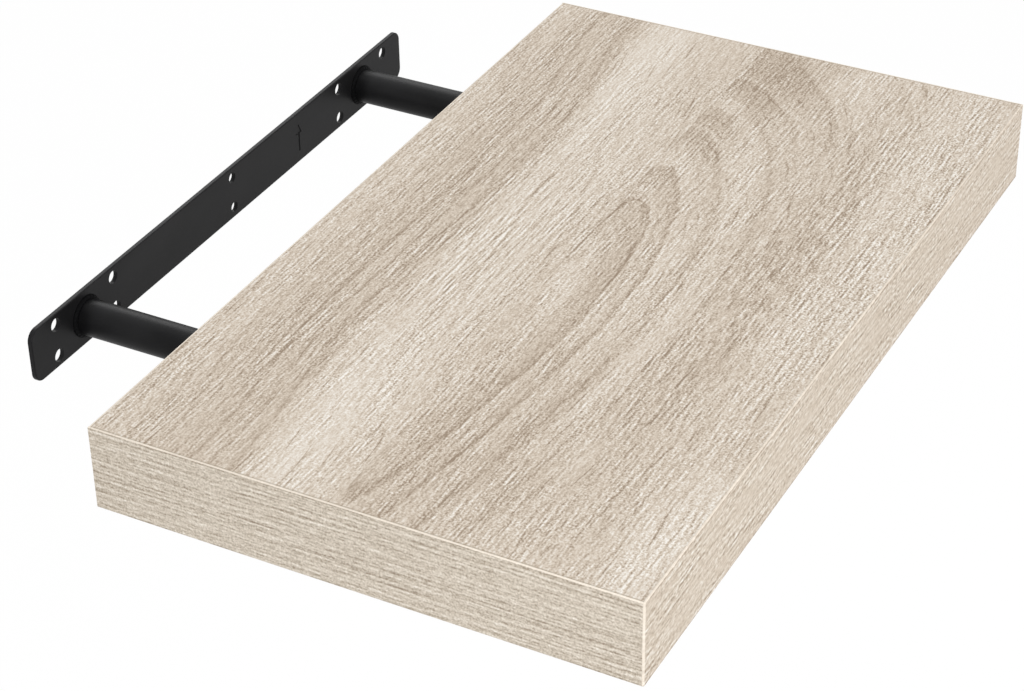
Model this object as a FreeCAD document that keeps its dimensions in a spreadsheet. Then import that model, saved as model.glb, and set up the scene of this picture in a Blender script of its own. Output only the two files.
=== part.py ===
import FreeCAD, Part
import Sketcher
import math
import os
import re

# Floating wall shelf: a hollow board that slides onto a wall plate with two round rods.
# +X runs along the wall to the right, +Y points into the wall and +Z up. The origin is
# the centre of the wall plate's back face. The board stands partly drawn off its rods.

# Driving dimensions, in millimetres
SIZES = {
    # Board, outside
    "board_width": 400.0,
    "board_depth": 235.0,
    "board_height": 38.0,
    "drawn_out": 66.5,  # from the wall to the board's back edge
    # Board, skins and edge bands
    "laminate_thickness": 0.5,
    "panel_thickness": 3.0,
    "band_thickness": 0.8,
    "rear_band_thickness": 0.8,
    "arris_radius": 0.4,
    "corner_radius": 0.7,
    # Board, frame between the panels
    "front_rail_depth": 30.0,
    "rear_rail_depth": 40.0,
    "end_rail_width": 20.0,
    "rod_stile_width": 38.0,
    "centre_stile_width": 20.0,
    # Board, paper honeycomb between the rails and stiles
    "cell_across": 20.0,
    "cell_wall": 0.6,
    "core_clearance": 0.4,
    # Wall plate, with a pair of screw holes on each side of each rod and one in the middle
    "plate_height": 25.0,
    "plate_thickness": 2.0,
    "plate_corner_radius": 5.0,
    "plate_edge_radius": 0.5,
    "rod_to_screws": 20.5,
    "screws_to_end": 16.5,
    "hole_row_spacing": 15.0,
    "screw_hole_diameter": 6.0,
    "centre_hole_diameter": 5.0,
    # Arrow sunk into the wall plate, pointing up
    "mark_offset": 56.0,
    "mark_height": 14.0,
    "mark_width": 5.0,
    "mark_stroke": 1.2,
    "mark_depth": 0.3,
    # Rods and the weld beads round their roots
    "rod_diameter": 16.0,
    "rod_length": 140.0,
    "rod_spacing": 226.0,
    "rod_chamfer": 1.0,
    "weld_leg": 1.6,
    # Fits of the board over the bracket
    "rod_clearance": 0.3,
    "weld_clearance": 0.5,
    "plate_clearance": 1.0,
    "recess_spare": 0.5,
    "socket_spare": 3.0,
}

# A paper cell cut off by the core's edge is left out below this share of a whole cell
LEAST_CELL_SHARE = 0.15
# A rounding takes at most this share of the wall or the rounding that it meets
ROUNDING_SHARE = 0.9
# Lengths closer than this share of the laminate's thickness count as the same
SAME_LENGTH_SHARE = 0.01

# Formulas that several sub-parts share
PANEL_WIDTH = "board_width - 2 * band_thickness"
PANEL_DEPTH = "board_depth - band_thickness - rear_band_thickness"
SKIN = "(laminate_thickness + panel_thickness)"
FRAME_HEIGHT = f"board_height - 2 * {SKIN}"
FRAME_LOW = f"{SKIN} - board_height / 2"
BACK = "(-drawn_out)"
FRONT = f"({BACK} - board_depth)"
INNER_FRONT = f"({FRONT} + band_thickness)"
INNER_BACK = f"({BACK} - rear_band_thickness)"
BAY_FRONT = f"({INNER_FRONT} + front_rail_depth)"
BAY_DEPTH = f"({PANEL_DEPTH} - front_rail_depth - rear_rail_depth)"
CORNER_ROUNDING = f"min(corner_radius; {ROUNDING_SHARE} * band_thickness)"
ARRIS_ROUNDING = (f"min(arris_radius; {ROUNDING_SHARE} * {CORNER_ROUNDING}; "
                  f"{ROUNDING_SHARE} * rear_band_thickness)")
PLATE_LENGTH = "(rod_spacing + 2 * (rod_to_screws + screws_to_end))"
PLATE_ROUNDING = (f"min(plate_edge_radius; {ROUNDING_SHARE} * plate_thickness; "
                  f"{ROUNDING_SHARE} * plate_corner_radius)")
RECESS_DEPTH = "(plate_thickness + recess_spare)"
RECESS_LENGTH = f"({PLATE_LENGTH} + 2 * plate_clearance)"
RECESS_HEIGHT = "(plate_height + 2 * plate_clearance)"
SOCKET_DEPTH = "(plate_thickness + rod_length + socket_spare)"
SOCKET_DIAMETER = "(rod_diameter + 2 * rod_clearance)"
WELD_SEAT_DIAMETER = "(rod_diameter + 2 * (weld_leg + weld_clearance))"

SIDES = {"left": -1, "right": 1}

doc = FreeCAD.newDocument("WallShelf")
sheet = doc.addObject("Spreadsheet::Sheet", "Sizes")
for row, (alias, size) in enumerate(SIZES.items(), 1):
    sheet.set(f"A{row}", alias)
    sheet.set(f"B{row}", str(size))
    sheet.setAlias(f"B{row}", alias)
doc.recompute()

sub_parts = []


def sheet_formula(formula):
    """The formula with each name in it looked up in the sheet."""
    return re.sub(r"[a-z]\w*_\w+", lambda name: f"Sizes.{name.group()}", formula)


def value(formula):
    """What the formula is worth now, for a first guess or for a shape made in code."""
    return float(sheet.evalExpression(sheet_formula(formula)))


def bind(item, path, formula):
    item.setExpression(path, sheet_formula(formula))


def place(item, x, y, z):
    """Bind the item's low corner, or its centre where it is round."""
    for axis, formula in zip("xyz", (x, y, z)):
        bind(item, f"Placement.Base.{axis}", formula)


def new_body(label, x, y, z):
    body = doc.addObject("PartDesign::Body", label)
    body.Label = label
    place(body, x, y, z)
    sub_parts.append(body)
    return body


def new_sketch(body, role, depth="0"):
    """A sketch on one of the body's own planes, moved into the body by depth."""
    sketch = body.newObject("Sketcher::SketchObject", f"{body.Label}_sketch")
    plane = next(item for item in body.Origin.OriginFeatures if item.Role == role)
    sketch.AttachmentSupport = (plane, [""])
    sketch.MapMode = "FlatFace"
    # The XZ plane faces -Y, so a way into the body there is a negative offset.
    sign = "-" if role == "XZ_Plane" else ""
    bind(sketch, "AttachmentOffset.Base.z", f"{sign}({depth})")
    return sketch


def pin_point(sketch, geometry, corner, x, y):
    """Hold a point of the sketch at formulas measured from the sketch's origin."""
    for kind, level, formula in (("DistanceX", "Vertical", x), ("DistanceY", "Horizontal", y)):
        if formula == "0":
            sketch.addConstraint(Sketcher.Constraint(level, -1, 1, geometry, corner))
            continue
        distance = Sketcher.Constraint(kind, -1, 1, geometry, corner, value(formula))
        index = sketch.addConstraint(distance)
        bind(sketch, f"Constraints[{index}]", formula)


def add_outline(sketch, points):
    """A closed outline of straight lines through points given as formulas."""
    spots = [FreeCAD.Vector(value(x), value(y), 0) for x, y in points]
    ends = spots[1:] + spots[:1]
    lines = [sketch.addGeometry(Part.LineSegment(start, end)) for start, end in zip(spots, ends)]
    for line, following in zip(lines, lines[1:] + lines[:1]):
        sketch.addConstraint(Sketcher.Constraint("Coincident", line, 2, following, 1))
    for line, (x, y) in zip(lines, points):
        pin_point(sketch, line, 1, x, y)


def add_rectangle(sketch, x, y, width, height):
    right = f"({x}) + {width}"
    top = f"({y}) + {height}"
    add_outline(sketch, [(x, y), (right, y), (right, top), (x, top)])


def add_circle(sketch, x, y, diameter):
    centre = FreeCAD.Vector(value(x), value(y), 0)
    normal = FreeCAD.Vector(0, 0, 1)
    circle = sketch.addGeometry(Part.Circle(centre, normal, value(diameter) / 2))
    pin_point(sketch, circle, 3, x, y)
    size = Sketcher.Constraint("Diameter", circle, value(diameter))
    bind(sketch, f"Constraints[{sketch.addConstraint(size)}]", diameter)


def add_pad(body, sketch, length):
    """Draw the sketch out along +Z, or along +Y from the XZ plane."""
    pad = body.newObject("PartDesign::Pad", f"{body.Label}_pad")
    pad.Profile = sketch
    bind(pad, "Length", length)
    pad.Reversed = sketch.AttachmentSupport[0][0].Role == "XZ_Plane"
    doc.recompute()


def add_pocket(body, sketch, length):
    """Cut the sketch away along +Y from the XZ plane, and check that it cut."""
    before = body.Shape.Volume
    pocket = body.newObject("PartDesign::Pocket", f"{body.Label}_pocket")
    pocket.Profile = sketch
    bind(pocket, "Length", length)
    doc.recompute()
    if body.Shape.Volume >= before:
        raise RuntimeError(f"{body.Label}: a pocket cut nothing")


def add_edge_feature(body, kind, setting, size, wanted):
    """Round or chamfer the edges whose bounding box passes the test."""
    base = body.Tip
    edges = enumerate(base.Shape.Edges, 1)
    names = [f"Edge{number}" for number, edge in edges if wanted(edge.BoundBox)]
    feature = body.newObject(f"PartDesign::{kind}", f"{body.Label}_{kind.lower()}")
    feature.Base = (base, names)
    bind(feature, setting, size)
    doc.recompute()


def near(first, second):
    """Whether two lengths are the same, give or take a share of the thinnest sheet."""
    return abs(first - second) < SAME_LENGTH_SHARE * value("laminate_thickness")


def box_body(label, x, y, z, width, depth, height):
    """A plain board, drawn up from its plan."""
    body = new_body(label, x, y, z)
    sketch = new_sketch(body, "XY_Plane")
    add_rectangle(sketch, "0", "0", width, depth)
    add_pad(body, sketch, height)
    return body


def socket_centre(side, low):
    """Where a rod's axis lies in a board piece, from the piece's low X."""
    return f"{side} * rod_spacing / 2 - ({low})"


def bore(body, x, z, diameter, depth, length):
    """A round hole along +Y that starts at a depth from the body's low Y."""
    sketch = new_sketch(body, "XZ_Plane", depth)
    add_circle(sketch, x, z, diameter)
    add_pocket(body, sketch, length)


# Bracket
def make_wall_plate():
    """A flat plate with round corners, whose rim is eased on the room side."""
    body = new_body("wall_plate", f"-{PLATE_LENGTH} / 2", "-plate_thickness",
                    "-plate_height / 2")
    blank = new_sketch(body, "XZ_Plane")
    add_rectangle(blank, "0", "0", PLATE_LENGTH, "plate_height")
    add_pad(body, blank, "plate_thickness")
    thickness = value("plate_thickness")
    add_edge_feature(body, "Fillet", "Radius", "plate_corner_radius",
                     lambda box: near(box.YLength, thickness) and near(box.XLength, 0))
    add_edge_feature(body, "Fillet", "Radius", PLATE_ROUNDING,
                     lambda box: near(box.YLength, 0) and near(box.YMin, 0))
    middle = f"{PLATE_LENGTH} / 2"
    holes = new_sketch(body, "XZ_Plane")
    for row in ("-", "+"):
        height = f"plate_height / 2 {row} hole_row_spacing / 2"
        add_circle(holes, middle, height, "centre_hole_diameter")
        for side in SIDES.values():
            for beside_rod in ("-", "+"):
                reach = f"(rod_spacing / 2 {beside_rod} rod_to_screws)"
                add_circle(holes, f"{middle} + {side} * {reach}", height, "screw_hole_diameter")
    add_pocket(body, holes, "plate_thickness")
    mark = new_sketch(body, "XZ_Plane")
    centre = f"{middle} + mark_offset"
    low = "plate_height / 2 - mark_height / 2"
    neck = f"{low} + mark_height - mark_width"
    add_outline(mark, [
        (f"{centre} - mark_stroke / 2", low),
        (f"{centre} + mark_stroke / 2", low),
        (f"{centre} + mark_stroke / 2", neck),
        (f"{centre} + mark_width / 2", neck),
        (centre, f"{low} + mark_height"),
        (f"{centre} - mark_width / 2", neck),
        (f"{centre} - mark_stroke / 2", neck),
    ])
    add_pocket(body, mark, "mark_depth")


def make_rod(name, side):
    """A round rod from its chamfered tip back to the plate's front face."""
    body = new_body(f"{name}_rod", f"{side} * rod_spacing / 2",
                    "-plate_thickness - rod_length", "0")
    sketch = new_sketch(body, "XZ_Plane")
    add_circle(sketch, "0", "0", "rod_diameter")
    add_pad(body, sketch, "rod_length")
    add_edge_feature(body, "Chamfer", "Size", "rod_chamfer",
                     lambda box: near(box.YLength, 0) and near(box.YMin, 0))


def make_rod_weld(name, side):
    """A quarter-round bead of weld round the rod's root, turned about the rod's axis."""
    body = new_body(f"{name}_rod_weld", f"{side} * rod_spacing / 2",
                    "-plate_thickness - weld_leg", "0")
    sketch = new_sketch(body, "XY_Plane")
    root = FreeCAD.Vector(value("rod_diameter / 2"), value("weld_leg"), 0)
    outer = root + FreeCAD.Vector(value("weld_leg"), 0, 0)
    tip = root - FreeCAD.Vector(0, value("weld_leg"), 0)
    on_plate = sketch.addGeometry(Part.LineSegment(root, outer))
    on_rod = sketch.addGeometry(Part.LineSegment(tip, root))
    circle = Part.Circle(root, FreeCAD.Vector(0, 0, 1), value("weld_leg"))
    bead = sketch.addGeometry(Part.ArcOfCircle(circle, -math.pi / 2, 0))
    for first, first_end, second, second_end in (
            (on_plate, 1, on_rod, 2), (bead, 3, on_rod, 2),
            (bead, 1, on_rod, 1), (bead, 2, on_plate, 2)):
        joint = Sketcher.Constraint("Coincident", first, first_end, second, second_end)
        sketch.addConstraint(joint)
    sketch.addConstraint(Sketcher.Constraint("Horizontal", on_plate))
    sketch.addConstraint(Sketcher.Constraint("Vertical", on_rod))
    pin_point(sketch, on_plate, 1, "rod_diameter / 2", "weld_leg")
    leg = Sketcher.Constraint("Radius", bead, value("weld_leg"))
    bind(sketch, f"Constraints[{sketch.addConstraint(leg)}]", "weld_leg")
    turned = body.newObject("PartDesign::Revolution", f"{body.Label}_revolution")
    turned.Profile = sketch
    turned.ReferenceAxis = (sketch, ["V_Axis"])
    turned.Angle = 360
    doc.recompute()


# Board skins
def make_skins():
    for level, sign in (("top", 1), ("bottom", -1)):
        edge = "board_height / 2"
        if sign > 0:
            laminate_low = f"{edge} - laminate_thickness"
            panel_low = f"{laminate_low} - panel_thickness"
        else:
            laminate_low = f"-{edge}"
            panel_low = f"{laminate_low} + laminate_thickness"
        for kind, low in (("laminate", laminate_low), ("panel", panel_low)):
            box_body(f"{level}_{kind}", f"-({PANEL_WIDTH}) / 2", INNER_FRONT, low,
                     PANEL_WIDTH, PANEL_DEPTH, f"{kind}_thickness")


# Edge bands
def make_front_band():
    """The front band covers the ends of the side bands and turns both corners."""
    body = box_body("front_edge_band", "-board_width / 2", FRONT, "-board_height / 2",
                    "board_width", "band_thickness", "board_height")
    height = value("board_height")
    back = value("band_thickness")
    add_edge_feature(body, "Fillet", "Radius", CORNER_ROUNDING,
                     lambda box: near(box.ZLength, height) and near(box.YMax, 0))
    add_edge_feature(body, "Fillet", "Radius", ARRIS_ROUNDING,
                     lambda box: near(box.ZLength, 0) and not near(box.YMin, back)
                     and (near(box.ZMin, 0) or near(box.ZMin, height)))


def make_side_band(name, side):
    low = "-board_width / 2" if side < 0 else "board_width / 2 - band_thickness"
    body = box_body(f"{name}_edge_band", low, INNER_FRONT, "-board_height / 2",
                    "band_thickness", "board_depth - band_thickness", "board_height")
    outer = 0 if side < 0 else value("band_thickness")
    depth = value("board_depth - band_thickness")
    add_edge_feature(body, "Fillet", "Radius", ARRIS_ROUNDING,
                     lambda box: near(box.YLength, depth) and near(box.XMin, outer))


def make_rear_band():
    """The rear band has a window for the wall plate."""
    body = box_body("rear_edge_band", f"-({PANEL_WIDTH}) / 2", INNER_BACK, "-board_height / 2",
                    PANEL_WIDTH, "rear_band_thickness", "board_height")
    width = value(PANEL_WIDTH)
    back = value("rear_band_thickness")
    add_edge_feature(body, "Fillet", "Radius", ARRIS_ROUNDING,
                     lambda box: near(box.XLength, width) and near(box.YMin, back))
    window = new_sketch(body, "XZ_Plane")
    add_rectangle(window, f"({PANEL_WIDTH} - {RECESS_LENGTH}) / 2",
                  f"(board_height - {RECESS_HEIGHT}) / 2", RECESS_LENGTH, RECESS_HEIGHT)
    add_pocket(body, window, "rear_band_thickness")


# Frame between the panels
def make_rear_rail():
    """The rear rail holds the plate's recess, the weld seats and the sockets' mouths."""
    low = f"-({PANEL_WIDTH}) / 2"
    body = box_body("rear_rail", low, f"{INNER_BACK} - rear_rail_depth", FRAME_LOW,
                    PANEL_WIDTH, "rear_rail_depth", FRAME_HEIGHT)
    in_rail = f"({RECESS_DEPTH} - rear_band_thickness)"
    floor = f"rear_rail_depth - {in_rail}"
    recess = new_sketch(body, "XZ_Plane", floor)
    add_rectangle(recess, f"({PANEL_WIDTH} - {RECESS_LENGTH}) / 2",
                  f"({FRAME_HEIGHT} - {RECESS_HEIGHT}) / 2", RECESS_LENGTH, RECESS_HEIGHT)
    add_pocket(body, recess, in_rail)
    middle = f"({FRAME_HEIGHT}) / 2"
    seat_depth = "(weld_leg + weld_clearance)"
    for side in SIDES.values():
        centre = socket_centre(side, low)
        bore(body, centre, middle, SOCKET_DIAMETER, "0", "rear_rail_depth")
        bore(body, centre, middle, WELD_SEAT_DIAMETER, f"{floor} - {seat_depth}", seat_depth)


def make_frame():
    inner = f"({PANEL_WIDTH}) / 2"
    box_body("front_rail", f"-{inner}", INNER_FRONT, FRAME_LOW,
             PANEL_WIDTH, "front_rail_depth", FRAME_HEIGHT)
    make_rear_rail()
    for name, side in SIDES.items():
        low = f"-{inner}" if side < 0 else f"{inner} - end_rail_width"
        box_body(f"{name}_end_rail", low, BAY_FRONT, FRAME_LOW,
                 "end_rail_width", BAY_DEPTH, FRAME_HEIGHT)
    box_body("centre_stile", "-centre_stile_width / 2", BAY_FRONT, FRAME_LOW,
             "centre_stile_width", BAY_DEPTH, FRAME_HEIGHT)
    for name, side in SIDES.items():
        low = f"{side} * rod_spacing / 2 - rod_stile_width / 2"
        stile = box_body(f"{name}_rod_stile", low, BAY_FRONT, FRAME_LOW,
                         "rod_stile_width", BAY_DEPTH, FRAME_HEIGHT)
        reach = f"({SOCKET_DEPTH} - rear_band_thickness - rear_rail_depth)"
        bore(stile, "rod_stile_width / 2", f"({FRAME_HEIGHT}) / 2", SOCKET_DIAMETER,
             f"{BAY_DEPTH} - {reach}", reach)


# Paper honeycomb
def honeycomb(width, depth, height):
    """A block of paper cells, centred on its bay and cut off at its edges."""
    wall = value("cell_wall")
    pitch = value("cell_across") + wall
    radius = value("cell_across") / math.sqrt(3)
    row_pitch = pitch * math.sqrt(3) / 2
    inside = Part.makePlane(width - 2 * wall, depth - 2 * wall, FreeCAD.Vector(wall, wall, 0))
    whole_cell = math.sqrt(3) / 2 * value("cell_across") ** 2
    columns = math.ceil(width / pitch / 2) + 1
    rows = math.ceil(depth / row_pitch / 2)
    corners = [FreeCAD.Vector(radius * math.sin(turn), radius * math.cos(turn), 0)
               for turn in (math.tau * step / 6 for step in range(7))]
    cells = []
    for row in range(-rows, rows + 1):
        stagger = pitch / 2 * (row % 2)
        for column in range(-columns, columns + 1):
            centre = FreeCAD.Vector(width / 2 + column * pitch + stagger,
                                    depth / 2 + row * row_pitch, 0)
            outline = Part.makePolygon([centre + corner for corner in corners])
            cell = Part.Face(outline).common(inside)
            if cell.Area > LEAST_CELL_SHARE * whole_cell:
                cells.append(cell.extrude(FreeCAD.Vector(0, 0, height)))
    block = Part.makeBox(width, depth, height)
    return block.cut(Part.makeCompound(cells)).Solids[0]


def make_core(label, low, high):
    """The honeycomb that fills one bay between two uprights."""
    core = doc.addObject("Part::Feature", label)
    core.Label = label
    clearance = value("core_clearance")
    width = value(f"({high}) - ({low})") - 2 * clearance
    core.Shape = honeycomb(width, value(BAY_DEPTH) - 2 * clearance, value(FRAME_HEIGHT))
    place(core, f"{low} + core_clearance", f"{BAY_FRONT} + core_clearance", FRAME_LOW)
    sub_parts.append(core)


def make_cores():
    wall = f"({PANEL_WIDTH}) / 2 - end_rail_width"
    stile_outer = "(rod_spacing + rod_stile_width) / 2"
    stile_inner = "(rod_spacing - rod_stile_width) / 2"
    middle = "centre_stile_width / 2"
    make_core("left_outer_core", f"-({wall})", f"-{stile_outer}")
    make_core("left_inner_core", f"-{stile_inner}", f"-{middle}")
    make_core("right_inner_core", middle, stile_inner)
    make_core("right_outer_core", stile_outer, wall)


def check_and_write():
    """Stop on any failed object or bad shape, then write one file for each sub-part."""
    doc.recompute()
    for item in doc.Objects:
        if "Invalid" in item.State or "Error" in item.State:
            raise RuntimeError(f"{item.Label} failed: {item.State}")
    for item in sub_parts:
        if item.Shape.isNull() or not item.Shape.isValid() or len(item.Shape.Solids) != 1:
            raise RuntimeError(f"{item.Label} is not one valid solid")
    os.makedirs("parts", exist_ok=True)
    for item in sub_parts:
        item.Shape.exportStep(f"parts/{item.Label}.step")
        print(f"{item.Label}: {item.Shape.Volume:.0f} cubic mm")


make_wall_plate()
for name, side in SIDES.items():
    make_rod(name, side)
    make_rod_weld(name, side)
make_skins()
make_front_band()
for name, side in SIDES.items():
    make_side_band(name, side)
make_rear_band()
make_frame()
make_cores()
check_and_write()
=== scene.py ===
import math

import bpy
import numpy as np
from mathutils import Matrix, Vector


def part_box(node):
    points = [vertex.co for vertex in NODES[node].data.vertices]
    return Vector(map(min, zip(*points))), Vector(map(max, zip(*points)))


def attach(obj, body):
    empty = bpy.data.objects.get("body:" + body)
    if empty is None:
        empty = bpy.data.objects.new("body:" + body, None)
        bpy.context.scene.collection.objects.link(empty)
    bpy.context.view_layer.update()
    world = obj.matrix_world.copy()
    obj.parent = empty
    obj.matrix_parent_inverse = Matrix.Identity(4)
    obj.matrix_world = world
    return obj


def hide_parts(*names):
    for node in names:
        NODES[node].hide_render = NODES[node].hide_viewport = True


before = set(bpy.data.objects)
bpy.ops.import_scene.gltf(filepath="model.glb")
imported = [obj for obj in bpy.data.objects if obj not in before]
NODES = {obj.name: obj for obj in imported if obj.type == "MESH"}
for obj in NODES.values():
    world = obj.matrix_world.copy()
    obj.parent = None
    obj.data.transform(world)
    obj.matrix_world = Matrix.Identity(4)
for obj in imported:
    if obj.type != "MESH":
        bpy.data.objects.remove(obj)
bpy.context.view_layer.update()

MM = 0.001
BAND_BOXES = [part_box(name) for name in ("left_edge_band", "right_edge_band",
                                        "front_edge_band", "rear_edge_band")]
# The board's lowest and highest corners, which its four edge bands reach
BOARD_LOW = [min(low[axis] for low, high in BAND_BOXES) for axis in range(3)]
BOARD_HIGH = [max(high[axis] for low, high in BAND_BOXES) for axis in range(3)]


# Shader maths


class Value:
    """A number, colour or vector that varies over a surface, with the usual operators."""

    def __init__(self, finish, node, output=0):
        self.finish = finish
        self.source = node
        self.socket = node.outputs[output] if node.outputs else None

    def output(self, name):
        """Another output of the same node."""
        return Value(self.finish, self.source, name)

    def __add__(self, other):
        return self.finish.maths("ADD", self, other)

    def __sub__(self, other):
        return self.finish.maths("SUBTRACT", self, other)

    def __rsub__(self, other):
        return self.finish.maths("SUBTRACT", other, self)

    def __mul__(self, other):
        return self.finish.maths("MULTIPLY", self, other)

    def __truediv__(self, other):
        return self.finish.maths("DIVIDE", self, other)

    def __rtruediv__(self, other):
        return self.finish.maths("DIVIDE", other, self)

    def __pow__(self, other):
        return self.finish.maths("POWER", self, other)

    def __abs__(self):
        return self.finish.maths("ABSOLUTE", self)

    __radd__ = __add__
    __rmul__ = __mul__


class Finish:
    """A node tree being built: a material's, or the world's."""

    def __init__(self, owner):
        owner.use_nodes = True
        self.owner = owner
        self.tree = owner.node_tree
        self.tree.nodes.clear()

    def node(self, kind, values=None, output=0, stops=None, **settings):
        """A node of a kind, with its settings, then its sockets' values or links."""
        node = self.tree.nodes.new("ShaderNode" + kind)
        for name, setting in settings.items():
            setattr(node, name, setting)
        if stops:
            ramp = node.color_ramp
            for spare in range(len(stops) - 2):
                ramp.elements.new(0.5)
            for element, (place, colour) in zip(ramp.elements, stops):
                element.position = place
                element.color = colour
        for key, value in (values or {}).items():
            if isinstance(value, Value):
                self.tree.links.new(value.socket, node.inputs[key])
            else:
                node.inputs[key].default_value = value
        return Value(self, node, output)

    def maths(self, operation, *values):
        return self.node("Math", dict(enumerate(values)), operation=operation)

    def step(self, value, low, high):
        """0 below low, 1 above high and a smooth rise between; high may be the lower one."""
        if low > high:
            return 1.0 - self.step(value, high, low)
        return self.node("MapRange", {"Value": value, "From Min": low, "From Max": high},
                         interpolation_type="SMOOTHSTEP")

    def blend(self, factor, first, second):
        """The first colour where factor is 0 and the second where it is 1."""
        return self.node("Mix", {0: factor, 6: first, 7: second}, output=2, data_type="RGBA")

    def place(self):
        """The point on the piece, as X, Y and Z in millimetres."""
        point = self.node("TexCoord", output="Object")
        scaled = self.node("VectorMath", {0: point, 1: (1 / MM,) * 3}, operation="MULTIPLY")
        parts = self.node("SeparateXYZ", {0: scaled})
        return parts, parts.output("Y"), parts.output("Z")

    def noise(self, along, across, length, width, seed, detail=2.0, roughness=0.5,
              third=None, distortion=0.0):
        """Noise about 0 in specks of length by width, told apart by a seed or a third axis."""
        point = self.node("CombineXYZ", {0: along / length, 1: across / width,
                                         2: seed if third is None else third + seed})
        return self.node("TexNoise", {"Vector": point, "Scale": 1.0, "Detail": detail,
                                      "Roughness": roughness, "Distortion": distortion}) - 0.5

    def surface(self, colour, roughness, height, relief, specular=0.5):
        """Finish the material: a Principled surface with its relief in metres."""
        normal = self.node("Bump", {"Strength": 1.0, "Distance": relief, "Height": height})
        shader = self.node("BsdfPrincipled", {"Base Color": colour, "Roughness": roughness,
                                              "Specular IOR Level": specular,
                                              "Normal": normal})
        self.node("OutputMaterial", {"Surface": shader})
        return self.owner


def material(name):
    return Finish(bpy.data.materials.new(name))


def srgb(red, green, blue):
    """A display colour of 0 to 255 as the linear colour that nodes take."""
    parts = (part / 255 for part in (red, green, blue))
    return tuple(part / 12.92 if part <= 0.04045 else ((part + 0.055) / 1.055) ** 2.4
                 for part in parts) + (1.0,)


# Pale oak decor

# Colours of the decor's tones, from the darkest pore to the palest fibre
OAK_TONES = [(0.0, srgb(150, 133, 115)), (0.25, srgb(181, 166, 149)), (0.5, srgb(207, 194, 178)),
             (0.75, srgb(224, 216, 205)), (1.0, srgb(242, 238, 231))]
END_TONES = [(0.0, srgb(150, 136, 119)), (0.25, srgb(180, 168, 152)), (0.5, srgb(207, 196, 181)),
             (0.75, srgb(225, 216, 203)), (1.0, srgb(243, 237, 228))]
CREAM = srgb(243, 233, 219)
GLUE = srgb(160, 146, 128)
LAMINATE_LOW, LAMINATE_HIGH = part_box("top_laminate")
# How far inside an edge a strip along it begins and how far inside it is full: the laminate's
# glued seam, the band's bare arris, the shade beside that, and the arris round a corner
SEAM_EDGE = (0.9, 0.3)
ARRIS_EDGE = (0.26, 0.16)
SHADE_EDGE = (1.1, 0.5)
CORNER_EDGE = (0.75, 0.55)


def near_edge(finish, way, half_size, edge):
    """1 along the edges of something that reaches half_size both ways, and 0 inside."""
    begins, full = edge
    return finish.step(abs(way), half_size - begins, half_size - full)


def coloured(finish, tone, tones):
    """The colour of a tone of -1 to 1 on a scale of colours."""
    return finish.node("ValToRGB", {0: tone * 0.5 + 0.5}, stops=tones)


def embossed(finish, along, across, length, width, seed):
    """Fine lines along the grain, each dark on one flank and pale on the other.

    A noise less the same noise moved sideways by a little over half a line's width.
    """
    here = finish.noise(along, across, length, width, seed, detail=0.5)
    beside = finish.noise(along, across + width * 0.55, length, width, seed, detail=0.5)
    return here - beside


def oak_fibres(finish, along, across, flow, seed, length=12.0, width=1.25, line_strength=1.3,
               speck=0.95, stretch=1.0, dash_strength=1.4, speck_strength=3.1,
               pore_strength=0.60, patch_length=40.0, patch_width=10.0, patch_strength=3.2,
               speck_patches=0.55, line_share=1.0, speck_share=1.0, pore_share=1.0,
               level=-0.07):
    """Printed fibres and pores, embossed lines and dashes and a speckle: a tone and a height.

    The printed fibres and the sparse dark pores follow the flow of the grain; the embossing
    runs nearly straight and is stronger in patches, and so is a share of the speckle.
    The shares scale the lines, the speckle and the pores from place to place.
    """
    wave = finish.noise(along, across, 90.0, 30.0, seed, detail=1.0) * 2.0
    bent = across + wave
    streaks = finish.noise(along, flow, 150.0, 5.0, seed + 3.1, detail=2.0)
    fibres = finish.noise(along, flow, 60.0, 1.8, seed + 5.3, detail=1.0)
    pores = finish.noise(along, flow, length * 2.4, width * 0.95, seed + 19.3, detail=1.0)
    pores = finish.step(pores, 0.12, 0.27) * pore_share
    patchy = finish.noise(along, bent, patch_length, patch_width, seed + 9.1, detail=1.0)
    patchy = patchy * patch_strength
    lines = embossed(finish, along, bent, length, width, seed + 7.7) * (patchy + 1.0) * line_share
    dashes = finish.noise(along, bent, speck * 3.2, speck, seed + 11.3, detail=1.0) * speck_share
    speckle = finish.noise(along, bent, speck * stretch, speck, seed + 13.1, detail=2.0,
                           roughness=0.6)
    speckle = speckle * (patchy * speck_patches + 1.0) * speck_share
    tone = streaks * 0.15 + fibres * 0.35 + dashes * dash_strength + level
    tone = tone + lines * line_strength + speckle * speck_strength - pores * pore_strength
    height = lines * 0.6 + dashes * 0.5 + speckle * 0.6 - pores * 0.4
    return tone, height


def graded(finish, value, stops):
    """A tone of -1 to 1 that follows hand-set stops over a value."""
    low, high = stops[0][0], stops[-1][0]
    greys = [((place - low) / (high - low), (0.5 + 0.5 * tone,) * 3 + (1.0,))
             for place, tone in stops]
    share = (value - low) / (high - low)
    return finish.node("ValToRGB", {0: share}, stops=greys) * 2.0 - 1.0


def cloud(finish, along, depth, patch):
    """A soft oval patch: its middle, half length, half depth and tone."""
    middle, middle_depth, half_length, half_depth, tone = patch
    away = (((along - middle) / half_length) ** 2.0
            + ((depth - middle_depth) / half_depth) ** 2.0)
    return finish.step(away, 1.0, 0.0) * tone


def clouded(finish, value, along, depth, patches):
    """A value with a list of clouds laid over it."""
    for patch in patches:
        value = value + cloud(finish, along, depth, patch)
    return value


# Depths are counted in millimetres forward from the board's back edge

# Joints between the planks of the printed oak, and how far each is blurred
PLANK_JOINTS = (15.0, 108.0, 205.0)
JOINT_BLUR = 0.2
# Where the arches' dark patches beside their joint have faded out, and where they are full
PATCHES_END, PATCHES_FULL = PLANK_JOINTS[1] + 32.0, PLANK_JOINTS[1] + 10.0
# The heart of the arched plank's rings
HEART_ALONG, HEART_DEPTH = -53.5, 112.6
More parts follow.
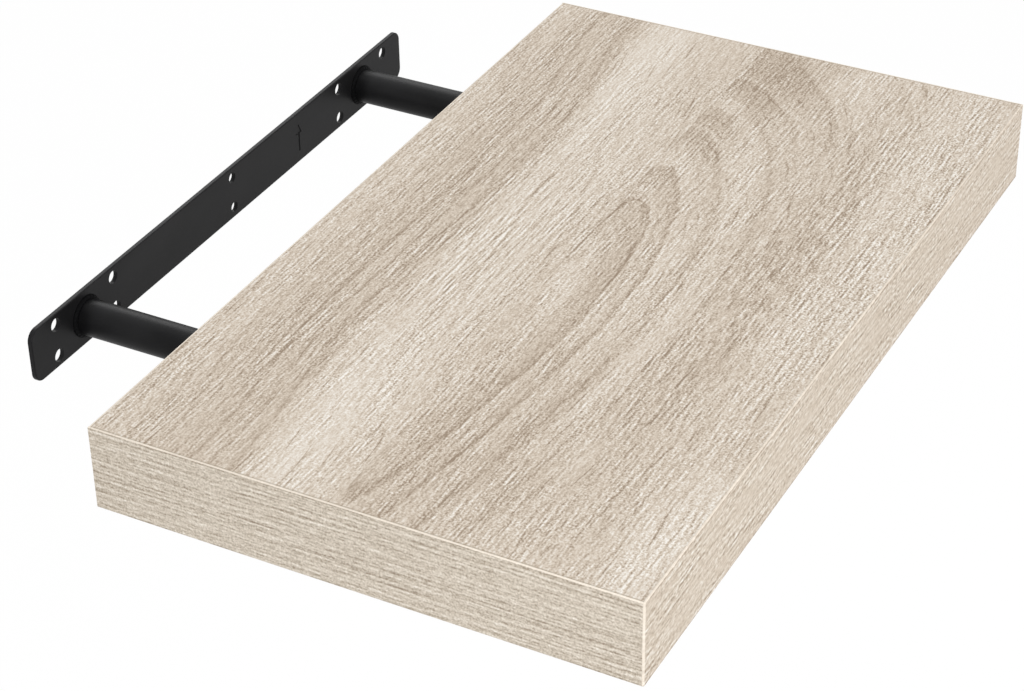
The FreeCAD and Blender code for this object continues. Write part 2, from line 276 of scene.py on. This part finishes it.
# How strong the tones of the straight plank and those of the arched plank are
STRAIGHT_STRENGTH = 0.46
RING_STRENGTH = 0.44
# Tone of the whole decor, and what the rear, the arched and the front plank add to it
DECOR_TONE = 0.04
REAR_TONE = 0.02
ARCHED_TONE = -0.02
FRONT_TONE = 0.07
# Tones across the straight-grained plank, from its back joint
STRAIGHT_TONES = [(-12.0, -0.12), (-1.2, -0.12), (0.0, -0.60), (1.4, -0.05), (3.5, -0.40),
                  (5.0, -0.10), (9.0, -0.15), (12.0, -0.30), (13.5, -0.60), (15.0, -0.15),
                  (17.0, -0.45), (18.5, -0.20), (20.0, -0.35), (20.8, -1.0), (21.6, -1.0),
                  (23.0, -0.25), (27.5, -0.10), (29.2, -0.80), (30.0, -0.80), (31.0, -0.15),
                  (35.0, -0.30), (37.2, -0.90), (38.0, -0.90), (39.5, -0.15), (41.5, -0.45),
                  (43.0, 0.05), (47.0, 0.15), (54.0, 0.36), (66.0, 0.40), (74.0, 0.28),
                  (82.0, 0.12), (93.0, 0.06)]
# Tones over the growth rings of the arched plank, whose dark lines are thin
RING_TONES = [(106.0, -0.12), (114.0, 0.02), (121.0, -0.20), (127.0, -0.30), (133.6, -0.45),
              (134.5, -1.0), (136.3, -1.0), (137.6, 0.05), (143.4, -0.05), (144.6, -0.45),
              (146.0, -0.05), (151.4, -0.20), (153.6, -1.0), (155.2, -1.0), (157.0, 0.20),
              (168.0, 0.15), (178.0, -0.15), (181.8, -0.70), (183.6, -0.70), (185.4, 0.05),
              (197.0, 0.25), (212.0, 0.0), (214.4, -0.70), (217.0, -0.10), (226.0, -0.15),
              (231.8, -0.60), (234.0, 0.0), (245.0, -0.15), (257.6, -0.80), (262.0, 0.15),
              (277.0, 0.22)]
# The same rings where they meet the joint, as dark patches with sharp outer edges
PATCH_TONES = [(106.0, 0.10), (121.0, -0.20), (130.0, -0.45), (134.0, -0.30), (136.6, 0.20),
               (141.0, 0.20), (144.0, -0.30), (151.0, -0.65), (154.0, -1.0), (156.0, -0.90),
               (158.0, 0.25), (167.0, 0.15), (172.0, -0.20), (177.0, -0.68), (186.0, -0.82),
               (188.4, -0.05), (190.4, -0.62), (203.6, -0.80), (206.4, 0.10), (214.0, 0.0),
               (219.0, -0.60), (227.0, -0.90), (232.6, -1.0), (235.0, -0.05), (238.4, -0.80),
               (264.0, -0.95), (270.0, 0.0)]
# Pale and dark clouds of the decor: along, depth, half length, half depth and tone
CLOUDS = [(-165.0, 74.0, 75.0, 22.0, 0.13), (150.0, 62.0, 110.0, 16.0, 0.16),
          (-28.0, 116.0, 32.0, 6.0, 0.14), (172.0, 132.0, 54.0, 17.0, -0.17),
          (-150.0, 142.0, 100.0, 36.0, -0.14), (10.0, 191.0, 150.0, 20.0, -0.12),
          (-195.0, 230.0, 90.0, 22.0, 0.20), (120.0, 222.0, 170.0, 24.0, 0.06),
          (-110.0, 195.0, 90.0, 30.0, -0.06), (180.0, 162.0, 60.0, 20.0, 0.04),
          (200.0, 147.0, 26.0, 12.0, -0.18), (18.0, 148.0, 60.0, 9.0, 0.10)]
# Where the figure between the rings is mottled, and where it has short slanted strokes
MOTTLED = (20.0, 190.0, 120.0, 22.0, 1.4)
STROKED = (146.0, 185.0, 76.0, 16.0, 0.55)
# Places where the embossed lines and where the speckle stand out more or less
LINE_CLOUDS = [(60.0, 225.0, 160.0, 48.0, 0.35), (-15.0, 76.0, 80.0, 30.0, 0.95),
               (185.0, 72.0, 55.0, 32.0, -0.38), (-190.0, 62.0, 60.0, 50.0, -0.22)]
SPECK_CLOUDS = [(60.0, 225.0, 160.0, 48.0, 0.42), (-15.0, 76.0, 80.0, 30.0, -0.10),
                (185.0, 72.0, 55.0, 32.0, -0.38), (-190.0, 62.0, 60.0, 50.0, -0.22)]


def arched_rings(finish, along, depth, seed):
    """Growth rings cut lengthwise: nested arches that point to the right end.

    With h the way right of the heart and v the way across from it, rounded off as the root of
    v squared plus rounding squared, a ring is a line of equal
    (h ** bulge + (spread * v + lead) ** bulge) ** (1 / bulge). Left of the heart the rings
    draw together by lean times h squared over (h + bend). A slow wander and a fine ripple
    move the rings about, least in the innermost ones.
    """
    spread, lead, rounding = 1.964, 91.1, 8.0
    lean, bend, bulge = 0.296, 57.1, 2.516
    wander = finish.noise(along, depth, 110.0, 30.0, seed, detail=2.0) * 9.0
    ripple = finish.noise(along, depth, 22.0, 4.0, seed + 5.0, detail=3.0, roughness=0.6) * 7.0
    right = finish.maths("MAXIMUM", along - HEART_ALONG, 0.0)
    left = finish.maths("MAXIMUM", HEART_ALONG - along, 0.0)
    aside = ((depth - HEART_DEPTH) ** 2.0 + rounding ** 2) ** 0.5 * spread + lead
    ring = (right ** bulge + aside ** bulge) ** (1 / bulge) + left * left / (left + bend) * lean
    apex = finish.step(right / ring, 0.55, 0.92)
    calm = finish.step(ring, 160.0, 140.0) * 0.75
    return ring + (wander + ripple) * (1.0 - calm), apex


def hooked_arch(finish, along, depth, seed):
    """The innermost arch, which is blunt and bends back along the joint, and its dark line.

    With h the way right of the heart over reach, and v the way across from it over
    front_width in front and over back_width behind, the arch is the line where
    h ** bulge + v ** bulge is 1.
    """
    reach, front_width, back_width, bulge = 98.5, 21.0, 4.6, 2.5
    right = finish.maths("MAXIMUM", along - HEART_ALONG, 0.0) / reach
    front = finish.maths("MAXIMUM", depth - HEART_DEPTH, 0.0) / front_width
    behind = finish.maths("MAXIMUM", HEART_DEPTH - depth, 0.0) / back_width
    rough = finish.noise(along, depth, 12.0, 3.0, seed, detail=2.0) * 0.05
    hook = (right ** bulge + (front + behind) ** bulge) ** (1 / bulge) + rough
    thickness = front * 0.018 + behind * 0.08 + 0.006
    line = finish.step(abs(hook - 1.0) / thickness, 1.5, 0.6)
    return hook, line * finish.step(along, -40.0, -5.0)


def straight_grain(finish, along, depth, seed):
    """The straight plank's own depth from its back joint, along grain that bows and sways."""
    left = finish.step(along, -80.0, -200.0)
    right = finish.step(along, 90.0, 200.0)
    bow = left * 10.0 - right * 13.0
    sway = finish.noise(along, depth, 130.0, 40.0, seed + 21.0, detail=1.0) * 7.0
    waver = finish.noise(along, depth, 28.0, 9.0, seed + 25.0, detail=1.0) * 2.2
    return depth - PLANK_JOINTS[0] - bow + sway + waver


def arched_grain(finish, along, depth, seed):
    """The arched plank: its rings, their tones, and how far its pores are held back.

    Near the joint, round the arches' tips, the rings' lines give way to dark patches.
    """
    ring, apex = arched_rings(finish, along, depth, seed + 31.0)
    hook, hook_line = hooked_arch(finish, along, depth, seed + 61.0)
    inside = finish.step(hook, 1.02, 0.90)
    near_joint = finish.step(depth, PATCHES_END, PATCHES_FULL) * apex
    smooth = finish.maths("MAXIMUM", inside * 0.8, near_joint * 0.55)
    patched = graded(finish, ring, PATCH_TONES) * RING_STRENGTH
    patched = patched + (finish.step(along, -60.0, 30.0) * -0.16 - 0.04 - patched) * inside
    mottle = finish.noise(along, depth, 11.0, 3.5, seed + 41.0, detail=2.0, distortion=0.8)
    mottle = mottle * cloud(finish, along, depth, MOTTLED)
    slanted = finish.noise(along, depth + along * 0.16, 36.0, 1.7, seed + 51.0, detail=2.0)
    strokes = finish.step(slanted, 0.06, 0.20) * -1.0
    mottle = mottle + strokes * cloud(finish, along, depth, STROKED)
    faded = finish.step(ring, 217.0, 226.0) * (1.0 - apex)
    tones = graded(finish, ring, RING_TONES) * (RING_STRENGTH - faded * 0.38)
    tones = tones + (patched - tones) * near_joint - hook_line * 0.50 + mottle
    return ring, tones, smooth


def oak_laminate(name, seed):
    """The decor sheet of a broad face: planks of straight and arched grain along X."""
    finish = material(name)
    along, across = finish.place()[:2]
    depth = BOARD_HIGH[1] / MM - across
    first, second, third = (finish.step(depth, joint - JOINT_BLUR, joint + JOINT_BLUR)
                            for joint in PLANK_JOINTS)
    arched = second * (1.0 - third)
    straight = straight_grain(finish, along, depth, seed)
    ring, ring_tones, smooth = arched_grain(finish, along, depth, seed)
    flow = straight + (ring * 0.5 - straight) * arched
    tone, height = oak_fibres(finish, along, across, flow, seed,
                              line_share=clouded(finish, 1.0, along, depth, LINE_CLOUDS),
                              speck_share=clouded(finish, 1.0, along, depth, SPECK_CLOUDS),
                              pore_share=1.0 - smooth * arched)
    broad = finish.noise(along, flow, 190.0, 12.0, seed + 23.0, detail=2.0) * 0.20
    patches = finish.noise(along, across, 60.0, 22.0, seed + 27.0, detail=2.0) * 0.20
    bands = graded(finish, straight, STRAIGHT_TONES) * STRAIGHT_STRENGTH * first * (1.0 - second)
    plank = (1.0 - first) * REAR_TONE + third * FRONT_TONE + arched * ARCHED_TONE + DECOR_TONE
    tone = tone + broad + patches + bands + ring_tones * arched + plank
    tone = clouded(finish, tone, along, depth, CLOUDS)
    front, back, end = LAMINATE_LOW.y / MM, LAMINATE_HIGH.y / MM, LAMINATE_HIGH.x / MM
    end_seam = near_edge(finish, along, end, SEAM_EDGE)
    long_seam = near_edge(finish, across - (front + back) / 2, (back - front) / 2, SEAM_EDGE)
    seam = finish.maths("MAXIMUM", end_seam * 0.6, long_seam * 0.2)
    colour = finish.blend(seam, coloured(finish, tone, OAK_TONES), GLUE)
    roughness = 0.70 - tone * 0.08
    return finish.surface(colour, roughness, height, relief=0.00015, specular=0.2)


def oak_edge_band(name, seed, axis, tones, arris_strengths, **grain):
    """An edge band: straight grain along its run and a bare cream arris where it is trimmed.

    The arris goes from the first of its strengths to the second along the band.
    """
    finish = material(name)
    place = finish.place()
    along, up = place[axis], place[2]
    wave = finish.noise(along, up, 60.0, 14.0, seed + 19.0, detail=2.0) * 6.0
    tone, height = oak_fibres(finish, along, up, up + wave, seed, **grain)
    broad = finish.noise(along, up, 210.0, 9.0, seed + 23.0, detail=2.0) * 0.08
    half_height = BOARD_HIGH[2] / MM
    tone = tone + broad - near_edge(finish, up, half_height, SHADE_EDGE) * 0.30
    start, stop = (end[axis] / MM for end in (BOARD_LOW, BOARD_HIGH))
    first_strength, last_strength = arris_strengths
    share = (along - start) / (stop - start)
    strength = share * (last_strength - first_strength) + first_strength
    trimmed = near_edge(finish, up, half_height, ARRIS_EDGE) * strength
    if axis == 0:
        turned = near_edge(finish, along, BOARD_HIGH[0] / MM, CORNER_EDGE)
        trimmed = finish.maths("MAXIMUM", trimmed, turned * 0.68)
    colour = finish.blend(trimmed, coloured(finish, tone, tones), CREAM)
    roughness = 0.66 - tone * 0.08
    height = height * (1.0 - trimmed)
    return finish.surface(colour, roughness, height, relief=0.00018, specular=0.2)


# Black steel

# Colour of the painted shade at a rod's root, next to the plate
ROOT_PAINTED_SHADE = srgb(9, 9, 10)


def powder_coat(name, seed, dark, pale, specular, painted_shade_length=None):
    """Fine matt black powder coat: a soft orange peel with a fine sparkle in its roughness.

    A rod's root, up to the given length from the wall, is darker: a painted shade standing in for
    the plate's shadow on it.
    """
    finish = material(name)
    x, y, z = finish.place()
    peel = finish.noise(x, z, 0.9, 0.9, seed, detail=2.0, third=y / 0.9)
    grit = finish.noise(x, z, 0.22, 0.22, seed + 4.0, detail=1.0, third=y / 0.22)
    drift = finish.noise(x, z, 30.0, 16.0, seed + 8.0, detail=2.0, third=y / 20.0)
    shade = finish.step(drift + grit * 0.3, -0.35, 0.35)
    colour = finish.blend(shade, dark, pale)
    # Painted shade: the rod darkens towards the plate over the given length
    if painted_shade_length is not None:
        root = finish.step(y + drift * 4.0, -painted_shade_length - 2.5, -painted_shade_length + 2.5)
        colour = finish.blend(root * 0.75, colour, ROOT_PAINTED_SHADE)
    roughness = 0.42 + grit * 0.16 + drift * 0.10
    height = peel * 0.7 + grit * 0.3
    return finish.surface(colour, roughness, height, relief=0.00003, specular=specular)


# Inside the board


def hardboard(name, seed):
    """Pressed brown fibres, matted every way."""
    finish = material(name)
    x, y, z = finish.place()
    mat = finish.noise(x, y, 2.6, 0.5, seed, detail=4.0, roughness=0.7, third=z)
    cross = finish.noise(y, x, 2.6, 0.5, seed + 9.0, detail=4.0, roughness=0.7, third=z)
    blotch = finish.noise(x, y, 35.0, 35.0, seed + 5.0, third=z / 35.0)
    tone = mat + cross + blotch * 0.5
    colour = finish.node("ValToRGB", {0: tone * 0.6 + 0.5}, stops=[
        (0.0, srgb(84, 58, 38)), (0.5, srgb(120, 88, 60)), (1.0, srgb(150, 116, 84))])
    return finish.surface(colour, 0.62 - blotch * 0.2, tone, relief=0.00015)


def particle_board(name, seed):
    """Pressed chips: flat flakes of a few millimetres, each with its own tone and fibre."""
    finish = material(name)
    x, y, z = finish.place()
    bend = finish.noise(x, y, 5.0, 5.0, seed, third=z / 5.0) * 2.4
    point = finish.node("CombineXYZ", {0: (x + bend) / 3.4, 1: (y + bend) / 2.2,
                                       2: (z - bend) / 1.1})
    flake = finish.node("TexVoronoi", {"Vector": point, "Scale": 1.0, "Randomness": 1.0},
                        output="Color", feature="F1", distance="CHEBYCHEV")
    pick = finish.node("SeparateXYZ", {0: flake})
    seam = finish.node("TexVoronoi", {"Vector": point, "Scale": 1.0, "Randomness": 1.0},
                       output="Distance", feature="F1", distance="CHEBYCHEV")
    fibre = finish.noise(x, z, 4.0, 0.4, seed + 6.0, detail=3.0, third=y / 2.0)
    tone = pick * 0.65 + fibre * 0.5 + 0.12
    colour = finish.node("ValToRGB", {0: tone}, stops=[
        (0.0, srgb(128, 98, 66)), (0.35, srgb(166, 134, 96)), (0.7, srgb(194, 164, 124)),
        (1.0, srgb(216, 192, 156))])
    roughness = 0.85 - pick * 0.15
    height = tone - seam * 0.5
    return finish.surface(colour, roughness, height, relief=0.0003, specular=0.2)


def kraft_paper(name, seed):
    """Brown paper with fine fibres and dark flecks."""
    finish = material(name)
    x, y, z = finish.place()
    fibre = finish.noise(x + y, z, 1.8, 0.25, seed, detail=3.0, roughness=0.7)
    fleck = finish.step(finish.noise(x, z, 0.8, 0.5, seed + 3.0, third=y / 0.8), 0.2, 0.3)
    colour = finish.blend(finish.step(fibre, -0.3, 0.3), srgb(158, 124, 86), srgb(190, 156, 114))
    colour = finish.blend(fleck * 0.6, colour, srgb(104, 78, 52))
    return finish.surface(colour, 0.82 + fibre * 0.2, fibre, relief=0.00005, specular=0.2)


# New pieces


def surface_mesh(name, points):
    """A closed surface through a grid of points that wraps round both ways."""
    rows, columns = points.shape[:2]
    corner = np.arange(rows * columns).reshape(rows, columns)
    along = np.roll(corner, -1, axis=0)
    quads = np.stack([corner, along, np.roll(along, -1, axis=1), np.roll(corner, -1, axis=1)],
                     axis=-1).reshape(-1, 4)
    mesh = bpy.data.meshes.new(name)
    mesh.from_pydata(points.reshape(-1, 3).tolist(), [], quads.tolist())
    mesh.shade_smooth()
    piece = bpy.data.objects.new(name, mesh)
    bpy.context.scene.collection.objects.link(piece)
    return piece


def weld_bead(name, node, rod, ripples):
    """A weld bead round a rod's root, laid down in overlapping ripples.

    For a turn t round the rod, its section is a quarter arc at angle a, from the toe on the
    plate to the toe on the rod, closed through the corner behind it. The arc's radius is 0.95
    of the bead's leg, less a scallop, which falls and rises with the fraction of
    ripples * t / 2 pi + 0.55 * sin(2 a), plus a slow unevenness in t; both fade at the toes.
    """
    turn_points, arc_points = 384, 15
    low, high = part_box(node)
    rod_low, rod_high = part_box(rod)
    centre = (low + high) / 2
    rod_radius = (rod_high.x - rod_low.x) / 2
    leg = high.y - low.y
    turns = np.linspace(0, math.tau, turn_points, endpoint=False)[:, None]
    arc = np.linspace(0, math.pi / 2, arc_points)[None, :]
    lead = 0.55 * np.sin(2 * arc)
    phase = np.mod(ripples * turns / math.tau + lead, 1.0)
    scallop = np.abs(2 * phase - 1) ** 1.6
    uneven = 0.03 * np.sin(3 * turns + 1.0) + 0.02 * np.sin(7 * turns + 2.0)
    swell = 1 - 0.10 * scallop * np.sin(2 * arc) - 0.05 + uneven * np.sin(2 * arc)
    out = rod_radius + leg * np.cos(arc) * swell
    off = leg * np.sin(arc) * swell
    sunk = 0.03 * leg
    corner_out = np.full_like(turns, rod_radius - sunk)
    corner_off = np.full_like(turns, 0.0)
    out = np.hstack([out, corner_out, corner_out])
    off = np.hstack([off, leg * np.full_like(turns, 0.9), corner_off])
    points = np.stack([centre.x + out * np.cos(turns), high.y - off,
                       centre.z + out * np.sin(turns)], axis=-1)
    return surface_mesh(name, points)


# Finishes on the pieces

BLACK_STEEL = powder_coat("black_powder_coat", 2.0, srgb(20, 20, 21), srgb(32, 32, 33), 0.10)
# The rods carry a painted shade over their last 9 mm towards the plate
ROD_COAT = powder_coat("rod_powder_coat", 2.0, srgb(20, 20, 21), srgb(32, 32, 33), 0.10, 9.0)
# The weld beads' coat is a darker copy of the powder coat with little sheen: a painted shade at
# the rods' roots
WELD_COAT_PAINTED_SHADE = powder_coat("weld_powder_coat", 3.0, srgb(10, 10, 11), srgb(17, 17, 18), 0.02)
HARDBOARD = hardboard("raw_hardboard", 5.0)
PARTICLE_BOARD = particle_board("raw_particle_board", 6.0)
PAPER = kraft_paper("brown_paper", 8.0)
# How bare the trimmed arris is at the low and at the high end of a band's run
LONG_ARRIS = (0.72, 0.52)
END_ARRIS = (0.92, 0.68)
LONG_GRAIN = {"length": 14.0, "width": 1.7, "line_strength": 1.25, "speck": 1.3,
              "stretch": 1.7, "dash_strength": 0.5, "speck_strength": 2.4,
              "pore_strength": 0.25, "patch_length": 30.0, "patch_width": 9.0,
              "patch_strength": 3.0, "speck_patches": 0.7, "level": -0.02}
END_GRAIN = {"length": 18.0, "width": 1.25, "line_strength": 1.4, "speck": 0.9,
             "dash_strength": 1.4, "speck_strength": 2.5, "pore_strength": 0.30,
             "patch_strength": 1.2, "speck_patches": 0.0}
FINISHES = {
    "wall_plate": BLACK_STEEL,
    "left_rod": ROD_COAT,
    "right_rod": ROD_COAT,
    "left_rod_weld": WELD_COAT_PAINTED_SHADE,
    "right_rod_weld": WELD_COAT_PAINTED_SHADE,
    "top_laminate": oak_laminate("oak_top", 12.0),
    "bottom_laminate": oak_laminate("oak_underside", 57.0),
    "front_edge_band": oak_edge_band("oak_front_band", 71.0, 0, OAK_TONES, LONG_ARRIS,
                                     **LONG_GRAIN),
    "rear_edge_band": oak_edge_band("oak_rear_band", 83.0, 0, OAK_TONES, LONG_ARRIS,
                                    **LONG_GRAIN),
    "left_edge_band": oak_edge_band("oak_left_band", 94.0, 1, END_TONES, END_ARRIS,
                                    **END_GRAIN),
    "right_edge_band": oak_edge_band("oak_right_band", 105.0, 1, END_TONES, END_ARRIS,
                                     **END_GRAIN),
    "top_panel": HARDBOARD,
    "bottom_panel": HARDBOARD,
}
for name, node in NODES.items():
    finish = FINISHES.get(name)
    if finish is None:
        finish = PAPER if name.endswith("_core") else PARTICLE_BOARD
    node.data.materials.clear()
    node.data.materials.append(finish)

for side in ("left", "right"):
    bead = weld_bead(f"{side}_weld_bead", f"{side}_rod_weld", f"{side}_rod", 26)
    bead.data.materials.append(WELD_COAT_PAINTED_SHADE)
    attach(bead, "bracket")
    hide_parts(f"{side}_rod_weld")


# Floor, light and camera


def background_rays(finish):
    """1 for rays that see the background itself or its reflection, and 0 for light."""
    path = finish.node("LightPath", output="Is Camera Ray")
    return path + path.output("Is Glossy Ray") + path.output("Is Transmission Ray")


def white_room(strength):
    """Soft light from all round, which shows as plain white."""
    finish = Finish(bpy.data.worlds.new("white_room"))
    light = finish.node("Background", {"Color": (1.0, 1.0, 1.0, 1.0), "Strength": strength})
    white = finish.node("Background", {"Color": (1.0, 1.0, 1.0, 1.0), "Strength": 1.0})
    both = finish.node("MixShader", {0: background_rays(finish), 1: light, 2: white})
    finish.node("OutputWorld", {"Surface": both})
    bpy.context.scene.world = finish.owner


def pale_floor(drop, half_side):
    """A pale floor that shows its shadow softly and is seen only from above."""
    mesh = bpy.data.meshes.new("floor")
    corners = [(-half_side, -half_side), (half_side, -half_side),
               (half_side, half_side), (-half_side, half_side)]
    mesh.from_pydata([(x, y, drop) for x, y in corners], [], [(0, 1, 2, 3)])
    floor = bpy.data.objects.new("floor", mesh)
    bpy.context.scene.collection.objects.link(floor)
    finish = material("pale_floor")
    seen_here = background_rays(finish)
    grey, pale = (0.45, 0.45, 0.45, 1.0), (0.98, 0.98, 0.98, 1.0)
    matt = finish.node("BsdfDiffuse", {"Color": finish.blend(seen_here, grey, pale)})
    white = finish.node("Emission", {"Color": (1.0, 1.0, 1.0, 1.0), "Strength": 1.0})
    seen = finish.node("MixShader", {0: seen_here * 0.93, 1: matt, 2: white})
    clear = finish.node("BsdfTransparent")
    under = finish.node("NewGeometry", output="Backfacing")
    both = finish.node("MixShader", {0: under, 1: seen, 2: clear})
    finish.node("OutputMaterial", {"Surface": both})
    mesh.materials.append(finish.owner)


def softbox(name, place, aim, size, level):
    """A square lamp whose light at the aim, face on, is the level of a white surface."""
    place, aim = Vector(place), Vector(aim)
    lamp = bpy.data.lights.new(name, "AREA")
    lamp.shape = "SQUARE"
    lamp.size = size
    lamp.energy = level * (math.pi * (place - aim).length) ** 2
    holder = bpy.data.objects.new(name, lamp)
    holder.location = place
    holder.rotation_mode = "QUATERNION"
    holder.rotation_quaternion = (aim - place).to_track_quat("-Z", "Y")
    bpy.context.scene.collection.objects.link(holder)


def photo_camera(place, azimuth, elevation, roll, lens):
    """Azimuth 0 looks along +Y; elevation is above the horizon; all in degrees."""
    azimuth, elevation, roll = (math.radians(turn) for turn in (azimuth, elevation, roll))
    back = Vector((math.sin(azimuth) * math.cos(elevation),
                   -math.cos(azimuth) * math.cos(elevation), math.sin(elevation)))
    level = Vector((math.cos(azimuth), math.sin(azimuth), 0.0))
    upright = back.cross(level)
    right = math.cos(roll) * level + math.sin(roll) * upright
    upward = math.cos(roll) * upright - math.sin(roll) * level
    camera = bpy.data.objects.new("camera", bpy.data.cameras.new("camera"))
    camera.data.sensor_width = 36.0
    camera.data.lens = lens
    camera.data.clip_start = 0.01
    camera.data.clip_end = 50.0
    turn = Matrix((right, upward, back)).transposed().to_4x4()
    camera.matrix_world = Matrix.Translation(place) @ turn
    bpy.context.scene.collection.objects.link(camera)
    bpy.context.scene.camera = camera


CENTRE = (0.0, -0.15, 0.0)
white_room(0.42)
pale_floor(-0.45, 8.0)
softbox("overhead_lamp", (-0.1, 0.3, 2.0), CENTRE, 1.2, 0.20)
softbox("back_lamp", (1.2, 0.9, 1.0), CENTRE, 0.9, 0.26)
softbox("left_lamp", (-2.0, -0.5, 0.55), CENTRE, 1.2, 0.33)
softbox("near_corner_lamp", (-1.1, -1.3, 0.55), CENTRE, 0.9, 0.42)
softbox("front_lamp", (0.9, -2.0, 0.7), CENTRE, 1.4, 0.43)
photo_camera((-0.8540, -0.6057, 0.6101), -61.535, 33.820, -1.108, 94.16)

scene = bpy.context.scene
scene.view_settings.view_transform = "Standard"
